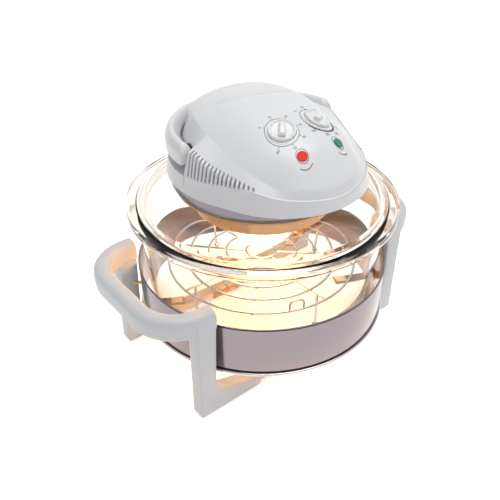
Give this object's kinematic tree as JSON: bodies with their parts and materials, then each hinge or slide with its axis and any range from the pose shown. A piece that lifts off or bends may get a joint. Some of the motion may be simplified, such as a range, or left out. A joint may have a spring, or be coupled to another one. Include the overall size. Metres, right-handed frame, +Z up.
{
  "type": "halogen oven",
  "caption": "Countertop halogen oven: glass bowl in a stand with loop handles and a steel band, lift-off glass lid with a domed control head and folding carrying handle.",
  "frame": {"origin": "on the worktop, on the axis of the round bowl", "axes": "+X from the left loop handle to the right one, -Y towards the user (control face), +Z up"},
  "size_m": [0.434, 0.34, 0.3391],
  "materials": {
    "stand_plastic": "satin, moulded",
    "head_plastic": "semi-gloss, moulded",
    "band_steel": "faint horizontal brushing",
    "oven_glass": "clear, polished",
    "quartz": "clear quartz",
    "rubber_grey": "matt",
    "silicone": "matt, heat-proof",
    "zinc_steel": "zinc plated",
    "rack_wire": "bright wire",
    "collar_metal": "polished",
    "sheet_aluminium": "bright sheet",
    "motor_can": "satin",
    "dark_plastic": "matt",
    "ceramic_white": "matt, fired",
    "knob_plastic": "smooth, slightly translucent",
    "red_lens": "translucent",
    "green_lens": "translucent"
  },
  "bodies": {
    "stand": {"stand_frame_left": "stand_plastic", "stand_frame_right": "stand_plastic", "foot_pads": "rubber_grey", "bar_joint_plates": "zinc_steel", "bar_joint_screws": "zinc_steel", "steel_band": "band_steel", "bowl_brackets": "zinc_steel", "bowl_rest_pads": "silicone", "bracket_screws": "zinc_steel"},
    "bowl": {"glass_bowl": "oven_glass"},
    "rack": {"wire_rack": "rack_wire"},
    "lid": {"glass_lid": "oven_glass", "lid_seal": "silicone", "collar_ring": "collar_metal", "clamp_ring": "zinc_steel", "clamp_seal": "silicone", "clamp_screws": "zinc_steel", "upper_housing": "head_plastic", "base_plate": "head_plastic", "housing_screws": "zinc_steel", "cord_gland": "rubber_grey", "timer_body": "motor_can", "thermostat_body": "dark_plastic", "power_lens": "red_lens", "heat_lens": "green_lens", "indicator_bulbs": "quartz", "handle_pivot_pins": "zinc_steel", "handle_washers": "dark_plastic", "safety_switch": "dark_plastic", "motor": "motor_can", "motor_bracket": "zinc_steel", "motor_screws": "zinc_steel", "reflector": "sheet_aluminium", "heat_shield": "sheet_aluminium", "shield_spacers": "ceramic_white", "halogen_tube": "quartz", "lamp_end_caps": "ceramic_white", "lamp_clips": "zinc_steel", "heater_guard": "rack_wire"},
    "handle": {"carrying_handle": "head_plastic"},
    "timer": {"timer_knob": "knob_plastic", "timer_shaft": "zinc_steel"},
    "thermostat": {"temperature_knob": "knob_plastic", "thermostat_shaft": "zinc_steel"},
    "rotor": {"motor_shaft": "zinc_steel", "cooling_fan": "sheet_aluminium", "convection_fan": "sheet_aluminium"},
    "plunger": {"switch_plunger": "dark_plastic"}
  },
  "joints": [
    {"name": "bowl_lift", "type": "slide", "parent": "stand", "child": "bowl", "axis": [0, 0, 1], "range_m": [0, 0.15]},
    {"name": "rack_lift", "type": "slide", "parent": "bowl", "child": "rack", "axis": [0, 0, 1], "range_m": [0, 0.06]},
    {"name": "lid_lift", "type": "slide", "parent": "bowl", "child": "lid", "axis": [0, 0, 1], "range_m": [0, 0.12]},
    {"name": "handle_hinge", "type": "hinge", "parent": "lid", "child": "handle", "pos_m": [0, 0.015, 0.295], "axis": [1, 0, 0], "range_deg": [0, 90]},
    {"name": "timer_turn", "type": "hinge", "parent": "lid", "child": "timer", "pos_m": [-0.0256, -0.0615, 0.32031], "axis": [-0.2486, -0.3182, 0.9148], "range_deg": [-300, 0], "stiffness_Nm_per_rad": 0.004},
    {"name": "thermostat_turn", "type": "hinge", "parent": "lid", "child": "thermostat", "pos_m": [0.0256, -0.0615, 0.32031], "axis": [0.2486, -0.3182, 0.9148], "range_deg": [-270, 0]},
    {"name": "fan_spin", "type": "hinge", "parent": "lid", "child": "rotor", "pos_m": [0, 0, 0.226], "axis": [0, 0, 1], "continuous": true},
    {"name": "plunger_slide", "type": "slide", "parent": "lid", "child": "plunger", "axis": [1, 0, 0], "range_m": [0, 0.0012]}
  ],
  "couplings": [
    {"joint": "plunger_slide", "follows": "handle_hinge", "m_per_rad": 0.00076}
  ]
}
